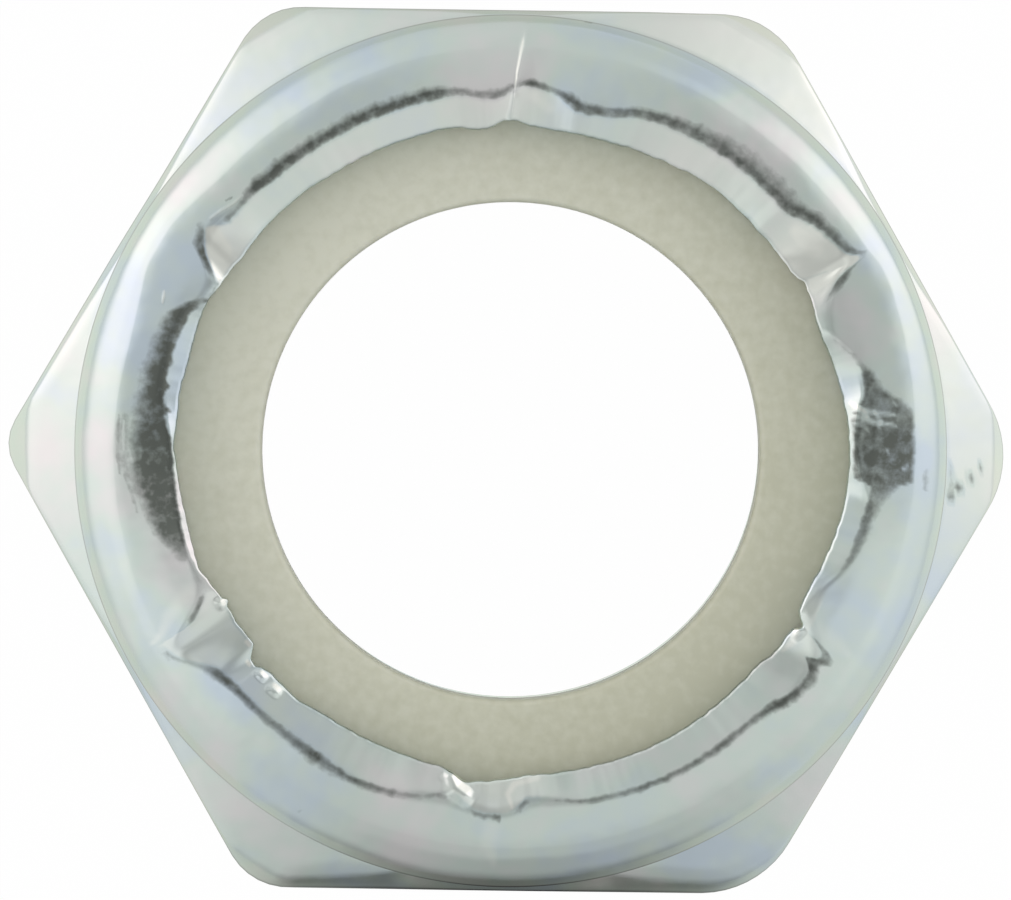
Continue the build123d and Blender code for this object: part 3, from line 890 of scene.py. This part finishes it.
def ring_tree(material):
    """Profile of the nylon ring swept once round its axis."""
    tree, given = growing_tree(
        "nylon ring",
        "Bore Radius", "Outer Radius", "Foot", "Top", "Pressed Corner", "Mouth Round",
    )
    bore = given["Bore Radius"]
    path = add(tree, "GeometryNodeCurvePrimitiveCircle", {
        "Resolution": given["Steps"], "Radius": bore,
    })
    width = maths(tree, "SUBTRACT", given["Outer Radius"], bore)
    # The sweep turns the profile's Y axis to point down the ring's axis
    foot = maths(tree, "MULTIPLY", given["Foot"], -1.0)
    top = maths(tree, "MULTIPLY", given["Top"], -1.0)
    outline = add(tree, "GeometryNodeCurvePrimitiveQuadrilateral", {
        "Point 1": add(tree, "ShaderNodeCombineXYZ", (0.0, foot)),
        "Point 2": add(tree, "ShaderNodeCombineXYZ", (0.0, top)),
        "Point 3": add(tree, "ShaderNodeCombineXYZ", (width, top)),
        "Point 4": add(tree, "ShaderNodeCombineXYZ", (width, foot)),
    }, mode="POINTS")
    order = add(tree, "GeometryNodeInputIndex")
    pressed = maths(tree, "COMPARE", order, 2.0, 0.5)
    mouth = maths(tree, "COMPARE", order, 1.0, 0.5)
    mouth_size = maths(tree, "MULTIPLY", mouth, given["Mouth Round"])
    size = maths(tree, "MULTIPLY_ADD", pressed, given["Pressed Corner"], mouth_size)
    soft = add(tree, "GeometryNodeFilletCurve", {
        "Curve": outline, "Radius": size, "Limit Radius": True, "Count": 6,
    }, mode="POLY")
    swept = add(tree, "GeometryNodeCurveToMesh", {"Curve": path, "Profile Curve": soft})
    return finished_tree(tree, swept, material)


def emptied(holder):
    """Node tree of a material or world, emptied."""
    holder.use_nodes = True
    holder.node_tree.nodes.clear()
    return holder.node_tree


def blank_material(name):
    """Material with an empty tree and its Principled shader joined to the output."""
    material = bpy.data.materials.new(name)
    tree = emptied(material)
    shader = add(tree, "ShaderNodeBsdfPrincipled")
    add(tree, "ShaderNodeOutputMaterial", (shader,))
    return material, tree, shader


def zinc_plate():
    """Electroplated zinc, clear passivated: bright but soft, faintly blue, green and
    rose in patches where the film is thicker. Dark grey paint along the crest is a painted
    dark reflection and painted shade, and near-white paint is a painted highlight."""
    material, tree, shader = blank_material("bright_zinc_plate")
    at = add(tree, "ShaderNodeTexCoord").outputs["Object"]
    # The film's patches are about 2.5 mm across
    film = noise_texture(tree, at, 420.0, 3.0, 0.55)
    tint = add(tree, "ShaderNodeValToRGB", (film,))
    stops = tint.color_ramp.elements
    stops[0].position, stops[0].color = 0.34, srgb("CBD7E1")
    stops[1].position, stops[1].color = 0.68, srgb("DFDDDD")
    stops.new(0.50).color = srgb("D3DED8")
    # The attribute holds painted dark reflection and painted shade where positive, and painted
    # highlight where negative
    # Grit of about 0.15 mm breaks up the painted dark band's sides and its darkness
    painted_light = add(tree, "ShaderNodeAttribute", attribute_name="painted_light").outputs["Fac"]
    grit = noise_texture(tree, at, 6000.0, 3.0, 0.6)
    swing = maths(tree, "MULTIPLY_ADD", grit, 0.7, -0.35)
    # In patches of 0.3 mm the painted dark band is lighter
    patches = noise_texture(tree, at, 3500.0, 2.0)
    patch = add(tree, "ShaderNodeMapRange", (patches, 0.35, 0.65, 1.0, 0.75))
    ragged = maths(tree, "MULTIPLY_ADD", painted_light, patch, swing)
    held = add(tree, "ShaderNodeMapRange", (ragged, 0.05, 0.92))
    present = maths(tree, "MULTIPLY", painted_light, 5.0, use_clamp=True)
    shade = maths(tree, "MULTIPLY", held, present)
    # Dark grey paint: painted dark reflection and painted shade
    colour = tinted(tree, shade, tint, "6F736E")
    # Near-white paint where the value is negative: painted highlight
    painted_highlight = maths(tree, "MULTIPLY", painted_light, -1.0, use_clamp=True)
    colour = tinted(tree, painted_highlight, colour, "F6F7F0")
    tree.links.new(colour, shader.inputs["Base Color"])
    shader.inputs["Metallic"].default_value = 1.0
    haze = add(tree, "ShaderNodeMapRange", (film, 0.3, 0.7, 0.12, 0.20))
    tree.links.new(haze.outputs[0], shader.inputs["Roughness"])
    # The bright dip leaves shallow waves about 1 mm across
    waves = noise_texture(tree, at, 900.0, 2.0)
    bump = add(tree, "ShaderNodeBump", {"Strength": 0.15, "Distance": 0.10 * MM, "Height": waves})
    tree.links.new(bump.outputs[0], shader.inputs["Normal"])
    return material


def natural_nylon():
    """Moulded nylon 6/6 in its natural colour: milky, slightly green cream, satin."""
    material, tree, shader = blank_material("milky_nylon")
    at = add(tree, "ShaderNodeTexCoord").outputs["Object"]
    # Painted light: lighter towards -X and +Y, as the light falls there; and faintly mottled
    painted_light_side = Vector((-0.77, 0.64, 0)) / (14 * MM)
    side = add(tree, "ShaderNodeVectorMath", (at, painted_light_side), operation="DOT_PRODUCT")
    cloud = noise_texture(tree, at, 4500.0, 2.0)
    painted_side_and_mottle = maths(tree, "ADD", side.outputs["Value"], cloud)
    tone = tinted(tree, painted_side_and_mottle, srgb("C8C9B4"), "DEDFCF")
    tree.links.new(tone, shader.inputs["Base Color"])
    shader.inputs["Roughness"].default_value = 0.42
    shader.inputs["IOR"].default_value = 1.53
    shader.inputs["Subsurface Weight"].default_value = 0.3
    shader.inputs["Subsurface Radius"].default_value = (1.0, 0.95, 0.8)
    shader.inputs["Subsurface Scale"].default_value = 0.5 * MM
    pores = noise_texture(tree, at, 4000.0, 3.0)
    bump = add(tree, "ShaderNodeBump", {"Strength": 0.15, "Distance": 0.01 * MM, "Height": pores})
    tree.links.new(bump.outputs[0], shader.inputs["Normal"])
    return material


def white_paper():
    """Smooth white paper. The camera sees it as an even white that keeps a faint shadow.

    What the metal mirrors of it is painted: light brightest at the left and right, as the tent
    does, a painted shadow dim in front of the nut and dimmest near it, and painted light under
    the bore."""
    paper = bpy.data.materials.new("white_paper")
    tree = emptied(paper)
    rays = add(tree, "ShaderNodeLightPath").outputs
    ground = add(tree, "ShaderNodeTexCoord").outputs["Object"]
    away = length_of(tree, ground)
    heading = add(tree, "ShaderNodeVectorMath", (ground,), operation="NORMALIZE")
    # In the metal, a painted shadow in front of the nut, darkest near it
    front = in_front(tree, heading)
    front = add(tree, "ShaderNodeMapRange", (front, 0.80, 1.0))
    front = maths(tree, "MULTIPLY", front, front)
    near = smooth_range(tree, away, 14 * MM, 24 * MM, 0.03, 0.16)
    # In the metal, painted light brightest at the left and right, and painted shadow close to the
    # nut
    ways = add(tree, "ShaderNodeSeparateXYZ", (heading,)).outputs
    aside = maths(tree, "MULTIPLY", ways[0], ways[0])
    behind = maths(tree, "MULTIPLY_ADD", ways[1], 0.15, 0.30)
    lit_floor = maths(tree, "MULTIPLY_ADD", aside, behind, 0.68)
    painted_shadow_close = smooth_range(tree, away, 14 * MM, 22 * MM, 0.62, 1.0)
    lit_floor = maths(tree, "MULTIPLY", lit_floor, painted_shadow_close)
    outside = between(tree, front, lit_floor, near)
    # In the metal, painted light under the bore
    bore = smooth_range(tree, away, 6 * MM, 9 * MM, 1.0, 0.0)
    mirrored = maths(tree, "MAXIMUM", outside, bore)
    glossy = rays["Is Glossy Ray"]
    level = between(tree, glossy, 1.0, mirrored)
    plain = maths(tree, "MAXIMUM", rays["Is Camera Ray"], glossy)
    plain = maths(tree, "MAXIMUM", plain, rays["Is Transmission Ray"])
    plain = maths(tree, "MULTIPLY", plain, PAPER_WHITE)
    lit = add(tree, "ShaderNodeBsdfDiffuse", (srgb("E6E6E6"),))
    hue = tinted(tree, glossy, srgb("FFFFFF"), "F9FBF3")
    glow = add(tree, "ShaderNodeEmission", (hue, level))
    both = add(tree, "ShaderNodeMixShader", (plain, lit, glow))
    add(tree, "ShaderNodeOutputMaterial", (both,))
    return paper


def soft_studio():
    """World of an even tent, bright at its left and right, dim over the top and in front."""
    world = bpy.data.worlds.new("tent")
    tree = emptied(world)
    toward = add(tree, "ShaderNodeTexCoord").outputs["Generated"]
    parts = add(tree, "ShaderNodeSeparateXYZ", (toward,)).outputs
    azimuth = maths(tree, "ARCTAN2", parts[1], parts[0])
    share_round = maths(tree, "MULTIPLY_ADD", azimuth, 0.5 / pi, 0.5)
    levels = []
    for table in (WALLS, EAVES, CLOTH):
        ramp = add(tree, "ShaderNodeValToRGB", (share_round,))
        ramp.color_ramp.interpolation = "CARDINAL"
        stops = ramp.color_ramp.elements
        for index, (angle, brightness) in enumerate(table):
            place = (angle + 180) / 360
            stop = stops[index and -1] if place in (0, 1) else stops.new(place)
            stop.color = (brightness / RAMP_TOP,) * 3 + (1.0,)
        levels.append(maths(tree, "MULTIPLY", ramp, RAMP_TOP))
    light = levels[0]
    for above, (low, high) in zip(levels[1:], (WALLS_TO_EAVES, EAVES_TO_CLOTH)):
        rise = smooth_range(tree, parts[2], sin(radians(low)), sin(radians(high)))
        light = between(tree, rise, light, above)
    # The opening over the nut is a little darker, and longer along X
    width, depth = OPENING
    narrow = (1 / width, 1 / depth, 0)
    over = add(tree, "ShaderNodeVectorMath", (toward, narrow), operation="MULTIPLY")
    over = length_of(tree, over)
    opening = smooth_range(tree, over, 0.5, 1.5, 0.7, 1.0)
    above = maths(tree, "GREATER_THAN", parts[2], 0.0)
    shade = between(tree, above, 1.0, opening)
    light = maths(tree, "MULTIPLY", light, shade)
    # Near the ground it is as bright as the paper, which is dim in front
    level_way = add(tree, "ShaderNodeVectorMath", (toward, (1, 1, 0)), operation="MULTIPLY")
    level_way = add(tree, "ShaderNodeVectorMath", (level_way,), operation="NORMALIZE")
    ground_light = smooth_range(tree, in_front(tree, level_way), 0.75, 0.99, 0.8, 0.3)
    rise = smooth_range(tree, parts[2], 0.0, sin(radians(GROUND_LIGHT_ENDS)))
    light = between(tree, rise, ground_light, light)
    # The brightest cloth, with a lamp behind it, is a little rosier
    lamp = add(tree, "ShaderNodeMapRange", (light, 0.9, 1.4))
    hue = tinted(tree, lamp, srgb("F9FBFA"), "FFF7F8")
    tent = add(tree, "ShaderNodeBackground", (hue, light))
    # Behind the nut the tent looks as white as the paper
    rays = add(tree, "ShaderNodeLightPath").outputs
    seen = maths(tree, "MAXIMUM", rays["Is Camera Ray"], rays["Is Transmission Ray"])
    backdrop = add(tree, "ShaderNodeBackground", (srgb("FFFFFF"), PAPER_WHITE))
    both = add(tree, "ShaderNodeMixShader", (seen, tent, backdrop))
    add(tree, "ShaderNodeOutputWorld", (both,))
    return world


zinc = zinc_plate()
nylon = natural_nylon()

nut = steel_nut()
nut.data.materials.append(zinc)
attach(nut, "root")
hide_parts("nut_body")

turns = RING_FOOT / PITCH
thread = grown("bolt_thread", thread_tree(zinc), {
    "Pitch": PITCH * MM, "Minor Radius": MINOR_RADIUS * MM, "Major Radius": MAJOR_RADIUS * MM,
    "Crest Flat": PITCH / 4 * MM, "Turns": turns, "Height": RING_FOOT * MM,
    "Sink Radius": SINK_RADIUS * MM, "Steps": int(turns * STEPS_PER_TURN),
})
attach(thread, "root")

ring = grown("nylon_ring", ring_tree(nylon), {
    "Bore Radius": RING_BORE * MM, "Outer Radius": RING_OUTER * MM, "Foot": RING_FOOT * MM,
    "Top": RING_TOP * MM, "Pressed Corner": ROLL_BEVEL * MM,
    "Mouth Round": RING_MOUTH_ROUND * MM, "Steps": RING_STEPS,
})
ring.data.shade_smooth()
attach(ring, "root")
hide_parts("nylon_insert")

floor_mesh = bpy.data.meshes.new("floor")
floor_corners = ((-1, -1), (1, -1), (1, 1), (-1, 1))
floor_mesh.from_pydata([
    (x * FLOOR_REACH, y * FLOOR_REACH, FLOOR_HEIGHT) for x, y in floor_corners
], [], [(0, 1, 2, 3)])
floor_mesh.materials.append(white_paper())
placed("floor", floor_mesh)

bpy.context.scene.world = soft_studio()

# Camera almost straight above, far enough that the bore's wall hardly shows, and near
# enough that views from other sides keep the nut before their far clipping distance
camera_data = bpy.data.cameras.new("camera")
camera = placed("camera", camera_data)
bpy.context.scene.camera = camera
camera_data.sensor_width = 36.0
camera_data.lens = camera_data.sensor_width * DISTANCE / SEEN_WIDTH
camera_data.clip_start = 0.05
camera_data.clip_end = 20.0
lean = Vector((tan(LEAN_X), tan(LEAN_Y), 1)).normalized()
camera.location = AIM + lean * DISTANCE
up = lean.cross(Vector((cos(TURN), sin(TURN), 0))).normalized()
camera.rotation_euler = Matrix((up.cross(lean), up, lean)).transposed().to_euler()

bpy.context.scene.view_settings.view_transform = "Standard"
